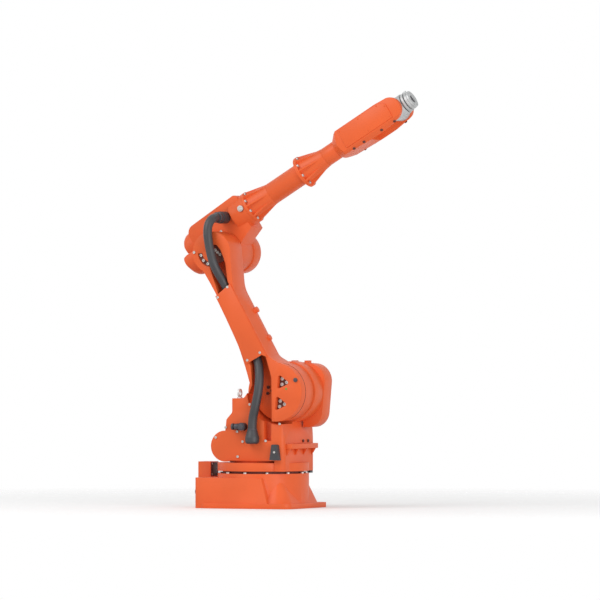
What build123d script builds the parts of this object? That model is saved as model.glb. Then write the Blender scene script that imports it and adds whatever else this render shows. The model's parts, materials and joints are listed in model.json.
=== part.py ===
from build123d import *
from math import cos, pi, radians, sin, tan
import os

os.makedirs("parts", exist_ok=True)

# Six-axis robot arm, millimetres. +X is the way the arm reaches, +Z is up.
# The origin is on the floor, on the axis that the arm turns about.

# Reach of the arm
shoulder_reach = 178.0
shoulder_height = 655.0
lower_arm_length = 880.0
lower_arm_lean = 26.74
elbow_rise = 142.5
forearm_slope = 31.2
forearm_length = 1302.0
tool_reach = 119.0

# Gaps between pieces that move on each other
bearing_gap = 0.5
side_gap = 8.0
swing_gap = 17.0

# Base
foot_length = 565.0
foot_width = 537.0
foot_thickness = 28.0
foot_corner = 45.0
skirt_inset = 26.0
skirt_corner = 90.0
skirt_height = 116.0
skirt_taper = 26.0
base_radius = 258.0
base_height = 195.0
wall_height = 172.0
wall_half_width = 260.0
wall_overhang = 23.5
wall_front = 152.0
wall_front_lean = 44.0
wall_corner = 14.0
anchor_inset_x = 26.5
anchor_inset_y = 45.0
anchor_radius = 11.0
anchor_seat_radius = 21.0
anchor_seat_depth = 2.0

# Box for the leads at the back of the base
box_length = 78.0
box_width = 170.0
box_bottom = 10.0
box_height = 154.0
box_corner = 12.0
tower_length = 78.0
tower_width = 104.0
tower_height = 94.0
socket_radius = 26.0
socket_spacing = 74.0
socket_length = 9.0

# Turning ring
ring_radius = 230.0
ring_height = 13.5

# Turret, with heights below and above the shoulder axis
plate_height = 47.0
neck_height = 12.0
neck_radius = 190.0
turret_half_width = 206.0
turret_front = 224.0
turret_front_corner = 30.0
front_block_start = 165.0
column_drop = 155.0
column_front = 206.0
column_back = 133.0
column_foot = 150.0
lobe_radius = 87.0
lobe_back = 143.0
lobe_height = 350.0
tower_back = 97.0
tower_drop = 36.0
tower_flat_front = -25.0
tower_root = 40.0
tower_slope_end = 60.0
tower_rise = 85.0
tower_corner = 30.0
barrel_radius = 172.0
barrel_end = 50.0
slot_left = 100.0
slot_right = 146.0
slot_bottom = 381.0
slot_depth = 45.0

# Housing on the far side of the shoulder: corner circles, from the shoulder axis
housing_end = 150.0
housing_radius = 166.0
housing_front_radius = 100.0
housing_front_reach = 80.0
housing_front_rise = 60.0
housing_low_radius = 90.0
housing_low_reach = 75.0
housing_low_drop = 110.0
housing_back_reach = 60.0
housing_back_rise = 76.0
end_cover_thickness = 15.0
end_cover_radius = 140.0
lug_length = 20.0
lug_width = 60.0
lug_corner = 6.0
lug_height = 10.0
lug_root = 18.0
lug_middle = 12.5
lug_spacing = 81.0

# Lifting eye
eye_x = -62.0
eye_y = -180.0
eye_foot_radius = 15.0
eye_foot_height = 8.0
eye_ring_height = 30.0
eye_ring_radius = 24.0
eye_hole_radius = 14.0
eye_thickness = 10.0

# Shelf on the front of the turret
shelf_bottom = 336.0
shelf_thickness = 28.0
shelf_depth = 36.0
shelf_rib_depth = 26.0
shelf_rib_height = 40.0
shelf_rib_width = 12.0
shelf_rib_spacing = 110.0
shelf_rib_count = 4

# Rubber parts and connector on the near side of the turret
buffer_x = 176.0
buffer_bottom = 273.0
buffer_width = 60.0
buffer_height = 88.0
buffer_slope = 82.0
buffer_corner = 8.0
buffer_thickness = 26.0
connector_x = -24.0
connector_z = 460.0
connector_radius = 22.0
connector_length = 40.0
plug_radius = 17.0
plug_length = 46.0
stop_x = 206.0
stop_y = 178.0
stop_length = 22.0
stop_width = 34.0
stop_height = 14.0

# Lower arm: widths across it from the line between its axes, places along it from the shoulder
arm_near_y = -226.0
arm_depth = 160.0
shoulder_hub_radius = 165.0
elbow_hub_radius = 117.0
beam_back_root = 120.0
beam_back_waist = 83.0
beam_back_top = 98.0
beam_front_root = 51.0
beam_front_waist = 30.0
beam_front_top = 112.0
beam_root_place = 100.0
beam_low_place = 199.0
beam_high_drop = 240.0
beam_top_drop = 30.0
beam_low_round = 70.0
beam_high_round = 180.0
trough_depth = 86.0
trough_wall = 13.0
trough_mouth_depth = 170.0
trough_mouth_front = 107.0
trough_mouth_back = 200.0
trough_neck = 17.0
trough_neck_place = 83.0
trough_end_front = 20.0
trough_end_back = 44.0
trough_end_drop = 50.0
trough_round = 26.0
cover_thickness = 6.0
cover_start = 219.0
cover_end_drop = 212.0
cover_lip = 22.0
cover_edge = 4.0
window_radius = 51.0
window_corner = 10.0
window_reach = 70.0
window_turn = 27.0
window_depth = 34.0
boss_radius = 17.0
boss_reach = 58.0
boss_y = -90.0
boss_low_place = 317.0
boss_high_place = 493.0

# Elbow
elbow_far_y = 95.0
elbow_hub = 112.0
elbow_back = -140.0
elbow_top_back = 92.0
elbow_top_front = 106.0
elbow_top_end = 235.0
elbow_back_low = 153.0
elbow_bottom = 192.0
elbow_bottom_half = 60.0
elbow_chin_start = 138.0
elbow_chin_low = 140.0
elbow_chin_end = 217.0
elbow_chin_high = 110.0
elbow_chin_round = 24.0
neck_start = 152.0
neck_start_radius = 88.0
neck_tip = 251.0
neck_tip_radius = 94.0
elbow_motor_radius = 118.0
elbow_motor_end = 185.0
elbow_cap_thickness = 14.0
elbow_cap_inset = 16.0
back_motor_y = 32.0
upper_motor_rise = 4.0
upper_motor_radius = 82.0
upper_motor_length = 62.0
lower_motor_radius = 90.0
lower_motor_length = 100.0
lower_motor_drop = 71.0
motor_split = 33.5
motor_split_gap = 1.0
elbow_reducer_radius = 92.0
shoulder_reducer_radius = 140.0
oil_plug_reach = 230.0
oil_plug_rise = 8.0
oil_plug_radius = 17.0
oil_plug_seat_radius = 21.0
oil_plug_seat_y = -88.0
oil_plug_height = 12.0

# Forearm
forearm_flange_radius = 94.0
forearm_flange_thickness = 17.0
cone_root_radius = 73.0
rear_tube_radius = 62.0
rear_cone_length = 138.0
rear_tube_end = 631.0
front_cone_length = 150.0
front_tube_radius = 53.0
front_tube_end = 887.0
joint_flange_thickness = 9.0
gusset_count = 8
gusset_width = 9.0
gusset_length = 132.0
gusset_inset = 2.0
front_root_radius = 73.0

# Wrist
fork_half_width = 92.0
fork_top = 73.0
fork_bottom = 84.0
fork_root_bottom = 65.0
fork_bevel = 30.0
fork_body_start = 960.0
fork_body_radius = 124.0
fork_collar = 4.0
fork_top_bevel = 67.0
fork_bottom_bevel = 107.0
fork_gap_start = 1110.0
fork_gap_half = 66.0
fork_tip_radius = 68.0
side_cover_thickness = 5.0
side_cover_start = 968.0
side_cover_end = 1298.0
side_cover_top = 66.0
side_cover_bottom = 46.0
side_cover_bevel = 40.0
side_cover_bevel_drop = 28.0
wrist_hub_radius = 62.0
wrist_side_gap = 0.5
wrist_nose_radius = 60.0
wrist_nose_reach = 66.0
wrist_ring_radius = 56.0
wrist_ring_reach = 86.0
wrist_end_radius = 52.0
groove_width = 6.0
groove_depth = 8.0
wrist_lug_reach = 94.0
wrist_lug_length = 18.0
wrist_lug_width = 14.0
wrist_lug_top = 61.0
flange_radius = 50.0
flange_thickness = 12.0
flange_bore_radius = 25.0
flange_bore_depth = 8.0
flange_pitch_radius = 40.0
flange_hole_radius = 4.0
flange_hole_count = 6

# Hoses
hose_radius = 25.0
hose_bend_share = 0.45
boot_radius = 40.0
boot_height = 36.0
boot_neck_height = 40.0
boot_neck_radius = 28.0
boot_round = 16.0
boot_lip = 2.0
boot_bottom = 364.0
boot_x = 42.0
boot_y = -236.0
boot_run = 60.0
trough_hose_line = -20.0
trough_hose_y = -180.0
hose_clearance = 5.0
hub_hose_across = -134.0
hub_hose_along = -17.0
hub_hose_y = -242.0
mouth_hose_across = -55.0
mouth_hose_along = 90.0
mouth_hose_y = -232.0
trough_hose_start = 240.0
exit_hose_drop = 215.0
outer_hose_across = -8.0
outer_hose_drop = 90.0
over_hose_across = 14.0
over_hose_rise = 10.0
over_hose_out = 8.0
turn_hose_reach = 62.0
turn_hose_drop = 22.0
fitting_run = 72.0
fitting_reach = 108.0
fitting_rise = 23.0
fitting_radius = 34.0
fitting_block = 70.0
fitting_neck = 32.0
fitting_neck_radius = 29.0

# Places that follow from the sizes above
lean_sin = sin(radians(lower_arm_lean))
lean_cos = cos(radians(lower_arm_lean))
slope_sin = sin(radians(forearm_slope))
slope_cos = cos(radians(forearm_slope))
elbow_x = shoulder_reach - lower_arm_length * lean_sin
elbow_z = shoulder_height + lower_arm_length * lean_cos
axis_x = elbow_x - elbow_rise * slope_sin
axis_z = elbow_z + elbow_rise * slope_cos
arm_far_y = arm_near_y + arm_depth
wall_back = foot_length / 2 + wall_overhang
beam_high_place = lower_arm_length - beam_high_drop
beam_top_place = lower_arm_length - beam_top_drop
trough_end = lower_arm_length - trough_end_drop
cover_end = lower_arm_length - cover_end_drop
inner_y = arm_far_y + side_gap
ring_top = base_height + ring_height
turret_bottom = ring_top + bearing_gap
plate_top = turret_bottom + plate_height
body_bottom = plate_top + neck_height
column_top = shoulder_height - column_drop
tower_top = shoulder_height - tower_drop
pocket_radius = shoulder_hub_radius + swing_gap
fitting_end_y = inner_y - fitting_block - fitting_neck
boot_top = boot_bottom + boot_height + boot_neck_height
outer_hose_y = arm_near_y - hose_radius - hose_clearance


def arm_plane(y):
    """Side plane of the lower arm: x forward across it, y along it, from the shoulder axis."""
    return Plane(origin=(shoulder_reach, y, shoulder_height), x_dir=(lean_cos, 0, lean_sin), z_dir=(0, -1, 0))


def along_arm(across, along, y):
    """Point across the lower arm and along it from the shoulder axis."""
    return (
        shoulder_reach + across * lean_cos - along * lean_sin,
        y,
        shoulder_height + across * lean_sin + along * lean_cos,
    )


def side_plane(y):
    """Upright side plane: x forward, y up, from the floor under the turning axis."""
    return Plane(origin=(0, y, 0), x_dir=(1, 0, 0), z_dir=(0, -1, 0))


def shoulder_plane(y):
    """Upright side plane with its origin on the shoulder axis."""
    return Plane(origin=(shoulder_reach, y, shoulder_height), x_dir=(1, 0, 0), z_dir=(0, -1, 0))


def forearm_plane(y):
    """Side plane of the forearm: x along its axis, y across it, from the foot above the elbow."""
    return Plane(origin=(axis_x, y, axis_z), x_dir=(slope_cos, 0, slope_sin), z_dir=(0, -1, 0))


def along_forearm(reach, rise=0, y=0):
    """Point at a reach along the forearm's axis and a rise across it."""
    return (axis_x + reach * slope_cos - rise * slope_sin, y, axis_z + reach * slope_sin + rise * slope_cos)


def forearm_section(reach):
    """Plane across the forearm at a reach along it."""
    return Plane(origin=along_forearm(reach), x_dir=(0, 1, 0), z_dir=(slope_cos, 0, slope_sin))


def gusset_plane(turn):
    """Plane through the forearm's axis: x along it, y out from it at a turn in radians from the top."""
    out_side = sin(turn)
    out_up = cos(turn)
    return Plane(
        origin=along_forearm(0),
        x_dir=(slope_cos, 0, slope_sin),
        z_dir=(-slope_sin * out_side, -out_up, slope_cos * out_side),
    )


forearm_axis = Axis((axis_x, 0, axis_z), (slope_cos, 0, slope_sin))

# Base casting: foot, flared skirt, round body and the straight walls behind it
with BuildPart() as base_casting:
    with BuildSketch():
        RectangleRounded(foot_length, foot_width, foot_corner)
    extrude(amount=foot_thickness)
    with BuildSketch(Plane.XY.offset(foot_thickness)):
        RectangleRounded(foot_length - 2 * skirt_inset, foot_width - 2 * skirt_inset, skirt_corner)
    extrude(amount=skirt_height, taper=skirt_taper)
    with BuildSketch(Plane.XY.offset(foot_thickness)):
        Circle(base_radius)
    extrude(amount=base_height - foot_thickness)
    with BuildSketch(side_plane(wall_half_width)):
        with BuildLine():
            Polyline(
                (-wall_back, 0),
                (wall_front, 0),
                (wall_front - wall_front_lean, wall_height),
                (-wall_back, wall_height),
                close=True,
            )
        make_face()
    extrude(amount=2 * wall_half_width)
    fillet(base_casting.edges().filter_by(Axis.Z).group_by(Axis.X)[0], wall_corner)
    anchor_x = foot_length / 2 - anchor_inset_x
    anchor_y = foot_width / 2 - anchor_inset_y
    with Locations((anchor_x, anchor_y, foot_thickness), (anchor_x, -anchor_y, foot_thickness)):
        CounterBoreHole(anchor_radius, anchor_seat_radius, anchor_seat_depth)
    with Locations((-anchor_x, anchor_y, wall_height), (-anchor_x, -anchor_y, wall_height)):
        CounterBoreHole(anchor_radius, anchor_seat_radius, wall_height - foot_thickness)
base_casting.part.label = "base_casting"

# Box behind the base, with two sockets for the leads and a tower on top
with BuildPart() as connector_box:
    with BuildSketch(Plane.XY.offset(box_bottom)):
        with Locations((-wall_back - box_length / 2, 0)):
            Rectangle(box_length, box_width)
    extrude(amount=box_height)
    fillet(connector_box.edges().filter_by(Axis.Z).group_by(Axis.X)[0], box_corner)
    with BuildSketch(Plane.XY.offset(box_bottom + box_height)):
        with Locations((-wall_back - box_length + tower_length / 2, 0)):
            Rectangle(tower_length, tower_width)
    extrude(amount=tower_height)
    socket_middle = (-wall_back - box_length, 0, box_bottom + box_height / 2)
    with BuildSketch(Plane(origin=socket_middle, z_dir=(-1, 0, 0))):
        with GridLocations(socket_spacing, socket_spacing, 2, 1):
            Circle(socket_radius)
    extrude(amount=socket_length)
connector_box.part.label = "connector_box"

# Ring that the turret turns on
with BuildPart() as slew_ring:
    with BuildSketch(Plane.XY.offset(base_height)):
        Circle(ring_radius)
    extrude(amount=ring_height)
slew_ring.part.label = "slew_ring"

# Turret casting: round plate, box body with a lobe behind, rear tower and the barrel of the shoulder
with BuildPart() as turret_casting:
    with BuildSketch(Plane.XY.offset(turret_bottom)):
        Circle(base_radius)
    extrude(amount=plate_height)
    with BuildSketch(Plane.XY.offset(plate_top)):
        Circle(neck_radius)
    extrude(amount=neck_height)
    with BuildSketch(side_plane(turret_half_width)):
        with BuildLine():
            Polyline(
                (front_block_start, turret_bottom),
                (turret_front, turret_bottom),
                (turret_front, shelf_bottom + shelf_thickness),
                (column_front, column_top),
                (-column_back, column_top),
                (-column_foot, lobe_height),
                (-column_foot, body_bottom),
                (front_block_start, body_bottom),
                close=True,
            )
        make_face()
        with Locations((-lobe_back, lobe_height)):
            Circle(lobe_radius)
    extrude(amount=2 * turret_half_width)
    fillet(turret_casting.edges().filter_by(Axis.Z).group_by(Axis.X)[-1], turret_front_corner)
    with BuildSketch(side_plane(barrel_end)) as tower_side:
        with BuildLine():
            FilletPolyline(
                (shoulder_reach, column_top - tower_root),
                (-column_back, column_top - tower_root),
                (-column_back, column_top),
                (-tower_back, column_top + tower_root),
                (-tower_back, tower_top),
                (tower_flat_front, tower_top),
                (tower_slope_end, shoulder_height + tower_rise),
                (shoulder_reach, shoulder_height + tower_rise),
                radius=[1, tower_root / 2, tower_root / 2, 1, tower_corner, tower_corner],
            )
            Line((shoulder_reach, shoulder_height + tower_rise), (shoulder_reach, column_top - tower_root))
        make_face()
    extrude(amount=barrel_end + turret_half_width)
    with BuildSketch(shoulder_plane(barrel_end)):
        Circle(barrel_radius)
    extrude(amount=barrel_end - inner_y)
    with BuildSketch(shoulder_plane(inner_y)):
        Circle(pocket_radius)
    extrude(amount=turret_half_width + inner_y, mode=Mode.SUBTRACT)
    with BuildSketch(side_plane(-turret_half_width + slot_depth)):
        with Locations(((slot_left + slot_right) / 2, slot_bottom)):
            Rectangle(slot_right - slot_left, column_top - slot_bottom, align=(Align.CENTER, Align.MIN))
    extrude(amount=slot_depth, mode=Mode.SUBTRACT)
turret_casting.part.label = "turret_casting"

# Shelf across the front of the turret, on four ribs
with BuildPart() as front_shelf:
    shelf_half_width = turret_half_width - turret_front_corner
    with BuildSketch(side_plane(shelf_half_width)):
        with Locations((turret_front, shelf_bottom)):
            Rectangle(shelf_depth, shelf_thickness, align=(Align.MIN, Align.MIN))
    extrude(amount=2 * shelf_half_width)
    for rib in range(shelf_rib_count):
        rib_y = (rib - (shelf_rib_count - 1) / 2) * shelf_rib_spacing
        with BuildSketch(side_plane(rib_y + shelf_rib_width / 2)):
            with BuildLine():
                Polyline(
                    (turret_front, shelf_bottom),
                    (turret_front + shelf_rib_depth, shelf_bottom),
                    (turret_front, shelf_bottom - shelf_rib_height),
                    close=True,
                )
            make_face()
        extrude(amount=shelf_rib_width)
front_shelf.part.label = "front_shelf"

# Housing on the far side of the shoulder: a skin drawn round five circles, with two lugs on top
housing_circles = (
    (0, 0, housing_radius),
    (housing_front_reach, housing_front_rise, housing_front_radius),
    (housing_low_reach, -housing_low_drop, housing_low_radius),
    (-housing_back_reach, -housing_low_drop, housing_low_radius),
    (-housing_back_reach, housing_back_rise, housing_radius - housing_back_rise),
)
with BuildPart() as shoulder_housing:
    with BuildSketch(shoulder_plane(housing_end)):
        with BuildLine():
            for reach, rise, radius in housing_circles:
                CenterArc((reach, rise), radius, 0, 360)
        make_hull()
    extrude(amount=housing_end - barrel_end)
    lug_y = (housing_end + barrel_end) / 2
    with BuildSketch(Plane.XY.offset(shoulder_height + housing_radius - lug_root)):
        with Locations((shoulder_reach + lug_middle, lug_y)):
            with GridLocations(lug_spacing, lug_spacing, 2, 1):
                RectangleRounded(lug_length, lug_width, lug_corner)
    extrude(amount=lug_root + lug_height)
    with BuildSketch(side_plane(housing_end)):
        with Locations((turret_front, column_top)):
            Rectangle(2 * turret_front, column_drop, align=(Align.MAX, Align.MAX))
    extrude(amount=housing_end - barrel_end, mode=Mode.SUBTRACT)
shoulder_housing.part.label = "shoulder_housing"

# End cover of the shoulder housing
with BuildPart() as shoulder_end_cover:
    with BuildSketch(shoulder_plane(housing_end + end_cover_thickness)):
        Circle(end_cover_radius)
    extrude(amount=end_cover_thickness)
shoulder_end_cover.part.label = "shoulder_end_cover"

# Gear flange between the shoulder and the lower arm
with BuildPart() as shoulder_reducer:
    with BuildSketch(shoulder_plane(inner_y)):
        Circle(shoulder_reducer_radius)
    extrude(amount=side_gap - bearing_gap)
shoulder_reducer.part.label = "shoulder_reducer"

# Lifting eye on the flat top of the tower
with BuildPart() as lifting_eye:
    with BuildSketch(Plane.XY.offset(tower_top)):
        with Locations((eye_x, eye_y)):
            Circle(eye_foot_radius)
    extrude(amount=eye_foot_height)
    eye_middle = (eye_x, eye_y, tower_top + eye_ring_height)
    with BuildSketch(Plane(origin=eye_middle, x_dir=(0, 1, 0), z_dir=(1, 0, 0))):
        Circle(eye_ring_radius)
        Circle(eye_hole_radius, mode=Mode.SUBTRACT)
    extrude(amount=eye_thickness / 2, both=True)
lifting_eye.part.label = "lifting_eye"

# Boot where the hose leaves the turret: a rounded bulb with a tapering neck, flat against the casting
with BuildPart() as lower_hose_boot:
    with BuildSketch(side_plane(boot_y)):
        with BuildLine():
            FilletPolyline(
                (boot_x, boot_bottom),
                (boot_x + boot_radius, boot_bottom),
                (boot_x + boot_radius, boot_bottom + boot_height),
                (boot_x + boot_neck_radius, boot_top),
                (boot_x, boot_top),
                radius=[boot_round, boot_round, boot_lip],
            )
            Line((boot_x, boot_top), (boot_x, boot_bottom))
        make_face()
    revolve(axis=Axis((boot_x, boot_y, 0), (0, 0, 1)))
    split(bisect_by=Plane(origin=(0, -turret_half_width, 0), z_dir=(0, -1, 0)), keep=Keep.TOP)
lower_hose_boot.part.label = "lower_hose_boot"

# Rubber buffer block on the near side of the turret
with BuildPart() as buffer_block:
    with BuildSketch(side_plane(-turret_half_width)) as buffer_side:
        with Locations((buffer_x, buffer_bottom)):
            Trapezoid(buffer_width, buffer_height, buffer_slope, align=(Align.CENTER, Align.MIN))
        fillet(buffer_side.vertices().group_by(Axis.Y)[-1], buffer_corner)
    extrude(amount=buffer_thickness)
buffer_block.part.label = "buffer_block"

# Round connector of the turret's motor, with its plug turned to the back
with BuildPart() as motor_connector:
    with BuildSketch(side_plane(-turret_half_width)):
        with Locations((connector_x, connector_z)):
            Circle(connector_radius)
    extrude(amount=connector_length)
    plug_y = -turret_half_width - connector_radius
    with BuildSketch(Plane(origin=(connector_x, plug_y, connector_z), x_dir=(0, 1, 0), z_dir=(-1, 0, 0))):
        Circle(plug_radius)
    extrude(amount=plug_length)
motor_connector.part.label = "motor_connector"

# Stop block under the front corner of the turret
with BuildPart() as swing_stop:
    with BuildSketch(Plane.XY.offset(turret_bottom)):
        with Locations((stop_x, stop_y)):
            Rectangle(stop_length, stop_width)
    extrude(amount=-stop_height)
swing_stop.part.label = "swing_stop"

# Lower arm: a hub at each end, a waisted beam, an open trough for the hose and windows in the shoulder hub
with BuildPart() as lower_arm_casting:
    with BuildSketch(arm_plane(arm_far_y)):
        with BuildLine():
            beam_back = ThreePointArc(
                (-beam_back_root, beam_root_place),
                (-beam_back_waist, (beam_root_place + beam_high_place) / 2),
                (-beam_back_top, beam_top_place),
            )
            FilletPolyline(
                beam_back @ 1,
                (0, lower_arm_length),
                (beam_front_top, beam_top_place),
                (beam_front_waist, beam_high_place),
                (beam_front_root, beam_low_place),
                (beam_back_root, beam_root_place),
                beam_back @ 0,
                radius=[1, 1, beam_high_round, beam_low_round, 1],
            )
        make_face()
        Circle(shoulder_hub_radius)
        with Locations((0, lower_arm_length)):
            Circle(elbow_hub_radius)
    extrude(amount=arm_depth)
    with BuildSketch(arm_plane(arm_near_y + trough_depth)) as trough:
        with BuildLine():
            Polyline(
                (-trough_mouth_front, -trough_mouth_depth),
                (trough_neck, trough_neck_place),
                (beam_front_root - trough_wall, beam_low_place),
                (beam_front_waist - trough_wall, beam_high_place),
                (trough_end_front, trough_end),
                (-trough_end_back, trough_end),
                (-beam_back_waist + trough_wall, beam_high_place),
                (-beam_back_waist + trough_wall, beam_low_place),
                (-beam_back_root + trough_wall, beam_root_place),
                (-trough_mouth_back, trough_round),
                (-trough_mouth_back, -trough_mouth_depth),
                close=True,
            )
        make_face()
        fillet(trough.vertices().group_by(Axis.Y)[-1], trough_round / 2)
    extrude(amount=trough_depth, mode=Mode.SUBTRACT)
    with BuildSketch(arm_plane(arm_near_y + window_depth)) as windows:
        with PolarLocations(window_reach, 3, start_angle=window_turn):
            RegularPolygon(window_radius, 3, rotation=180)
        fillet(windows.vertices(), window_corner)
    extrude(amount=window_depth, mode=Mode.SUBTRACT)
    for place in (boss_low_place, boss_high_place):
        boss_root = along_arm(0, place, boss_y)
        with BuildSketch(Plane(origin=boss_root, x_dir=(0, 1, 0), z_dir=(lean_cos, 0, lean_sin))):
            Circle(boss_radius)
        extrude(amount=boss_reach)
lower_arm_casting.part.label = "lower_arm_casting"

# Cover plate over the middle of the trough
with BuildPart() as lower_arm_cover:
    with BuildSketch(arm_plane(arm_near_y)):
        with BuildLine():
            cover_back = ThreePointArc(
                (-beam_back_waist - cover_edge, cover_start),
                (-beam_back_waist, (cover_start + cover_end) / 2),
                (-beam_back_waist - cover_edge, cover_end - cover_lip),
            )
            Polyline(
                cover_back @ 1,
                (beam_front_waist - cover_edge, cover_end),
                (beam_front_root - cover_edge, cover_start - cover_lip),
                (cover_lip, cover_start + cover_edge),
                cover_back @ 0,
            )
        make_face()
    extrude(amount=cover_thickness)
lower_arm_cover.part.label = "lower_arm_cover"

# Elbow casting: hub on the elbow axis, box body with a chin, and the round neck that the forearm turns on
with BuildPart() as elbow_casting:
    with BuildSketch(forearm_plane(elbow_far_y)) as elbow_side:
        with BuildLine():
            Polyline(
                (elbow_top_end, elbow_top_front),
                (elbow_back, elbow_top_back),
                (elbow_back, -elbow_back_low),
                (-elbow_bottom_half, -elbow_bottom),
                (elbow_bottom_half, -elbow_bottom),
                (elbow_chin_start, -elbow_chin_low),
                (elbow_chin_end, -elbow_chin_high),
                (elbow_chin_end, 0),
                close=True,
            )
        make_face()
        chin = elbow_side.vertices().group_by(Axis.X)[-1]
        fillet(chin.sort_by(Axis.Y)[0], elbow_chin_round)
        with Locations((0, -elbow_rise)):
            Circle(elbow_hub)
    extrude(amount=elbow_far_y - inner_y)
    with BuildSketch(forearm_plane(0)):
        with BuildLine():
            Polyline(
                (neck_start, 0),
                (neck_start, neck_start_radius),
                (neck_tip, neck_tip_radius),
                (neck_tip, 0),
                close=True,
            )
        make_face()
    revolve(axis=forearm_axis)
    with BuildSketch(forearm_plane(oil_plug_seat_y)):
        with Locations((oil_plug_reach, oil_plug_rise)):
            Circle(oil_plug_seat_radius)
    extrude(amount=oil_plug_height, mode=Mode.SUBTRACT)
elbow_casting.part.label = "elbow_casting"

# Oil plug in its round seat on the neck
with BuildPart() as oil_plug:
    with BuildSketch(forearm_plane(oil_plug_seat_y)):
        with Locations((oil_plug_reach, oil_plug_rise)):
            Circle(oil_plug_radius)
    extrude(amount=oil_plug_height)
oil_plug.part.label = "oil_plug"

# Gear flange between the lower arm and the elbow
with BuildPart() as elbow_reducer:
    with BuildSketch(forearm_plane(inner_y)):
        with Locations((0, -elbow_rise)):
            Circle(elbow_reducer_radius)
    extrude(amount=side_gap - bearing_gap)
elbow_reducer.part.label = "elbow_reducer"

# Housing of the elbow motor on the far side, and its cap
with BuildPart() as elbow_motor_housing:
    with BuildSketch(forearm_plane(elbow_motor_end)):
        with Locations((0, -elbow_rise)):
            Circle(elbow_motor_radius)
    extrude(amount=elbow_motor_end - elbow_far_y)
elbow_motor_housing.part.label = "elbow_motor_housing"

with BuildPart() as elbow_motor_cap:
    with BuildSketch(forearm_plane(elbow_motor_end + elbow_cap_thickness)):
        with Locations((0, -elbow_rise)):
            Circle(elbow_motor_radius - elbow_cap_inset)
    extrude(amount=elbow_cap_thickness)
elbow_motor_cap.part.label = "elbow_motor_cap"

# Two motor housings side by side behind the elbow
with BuildPart() as upper_rear_motor:
    with BuildSketch(forearm_section(elbow_back)):
        with Locations((back_motor_y, upper_motor_rise)):
            Circle(upper_motor_radius)
            with Locations((0, -motor_split)):
                Rectangle(
                    2 * upper_motor_radius,
                    upper_motor_radius,
                    align=(Align.CENTER, Align.MAX),
                    mode=Mode.SUBTRACT,
                )
    extrude(amount=-upper_motor_length)
upper_rear_motor.part.label = "upper_rear_motor"

with BuildPart() as lower_rear_motor:
    with BuildSketch(forearm_section(elbow_back)):
        with Locations((back_motor_y, upper_motor_rise - lower_motor_drop)):
            Circle(lower_motor_radius)
            with Locations((0, lower_motor_drop - motor_split - motor_split_gap)):
                Rectangle(
                    2 * lower_motor_radius,
                    lower_motor_radius,
                    align=(Align.CENTER, Align.MIN),
                    mode=Mode.SUBTRACT,
                )
    extrude(amount=-lower_motor_length)
lower_rear_motor.part.label = "lower_rear_motor"

# Fitting where the upper hose enters the elbow
with BuildPart() as upper_hose_fitting:
    with BuildSketch(forearm_plane(inner_y)):
        with Locations((fitting_reach, fitting_rise)):
            Circle(fitting_radius)
    extrude(amount=fitting_block)
    with BuildSketch(forearm_plane(inner_y - fitting_block)):
        with Locations((fitting_reach, fitting_rise)):
            Circle(fitting_neck_radius)
    extrude(amount=fitting_neck)
upper_hose_fitting.part.label = "upper_hose_fitting"


def ribbed_cone(label, flange_start, flange_thickness, cone_length, root_radius, tip_radius):
    """Flange with a cone in front that narrows to a tube, and gussets round the cone's root."""
    start = flange_start + flange_thickness
    with BuildPart() as cone:
        with BuildSketch(forearm_section(flange_start)):
            Circle(forearm_flange_radius)
        extrude(amount=flange_thickness)
        with BuildSketch(forearm_plane(0)):
            with BuildLine():
                Polyline(
                    (start, 0),
                    (start, root_radius),
                    (start + cone_length, tip_radius),
                    (start + cone_length, 0),
                    close=True,
                )
            make_face()
        revolve(axis=forearm_axis)
        for turn in range(gusset_count):
            with BuildSketch(gusset_plane(2 * pi * turn / gusset_count)):
                with BuildLine():
                    Polyline(
                        (start, tip_radius / 2),
                        (start, forearm_flange_radius - gusset_inset),
                        (start + gusset_length, tip_radius),
                        (start + gusset_length, tip_radius / 2),
                        close=True,
                    )
                make_face()
            extrude(amount=gusset_width / 2, both=True)
    cone.part.label = label
    return cone


# Forearm: flange and cone on the elbow
forearm_start = neck_tip + bearing_gap
rear_tube_start = forearm_start + forearm_flange_thickness + rear_cone_length
forearm_cone = ribbed_cone(
    "forearm_cone",
    forearm_start,
    forearm_flange_thickness,
    rear_cone_length,
    cone_root_radius,
    rear_tube_radius,
)

# Rear tube of the forearm with its end flange
with BuildPart() as forearm_tube:
    with BuildSketch(forearm_section(rear_tube_start)):
        Circle(rear_tube_radius)
    extrude(amount=rear_tube_end - rear_tube_start)
    with BuildSketch(forearm_section(rear_tube_end)):
        Circle(forearm_flange_radius)
    extrude(amount=joint_flange_thickness)
forearm_tube.part.label = "forearm_tube"

# Front piece of the forearm: flange, cone and tube
front_flange_start = rear_tube_end + joint_flange_thickness
front_tube_start = front_flange_start + joint_flange_thickness + front_cone_length
extension_cone = ribbed_cone(
    "extension_cone",
    front_flange_start,
    joint_flange_thickness,
    front_cone_length,
    front_root_radius,
    front_tube_radius,
)

with BuildPart() as extension_tube:
    with BuildSketch(forearm_section(front_tube_start)):
        Circle(front_tube_radius)
    extrude(amount=front_tube_end - front_tube_start)
extension_tube.part.label = "extension_tube"

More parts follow.
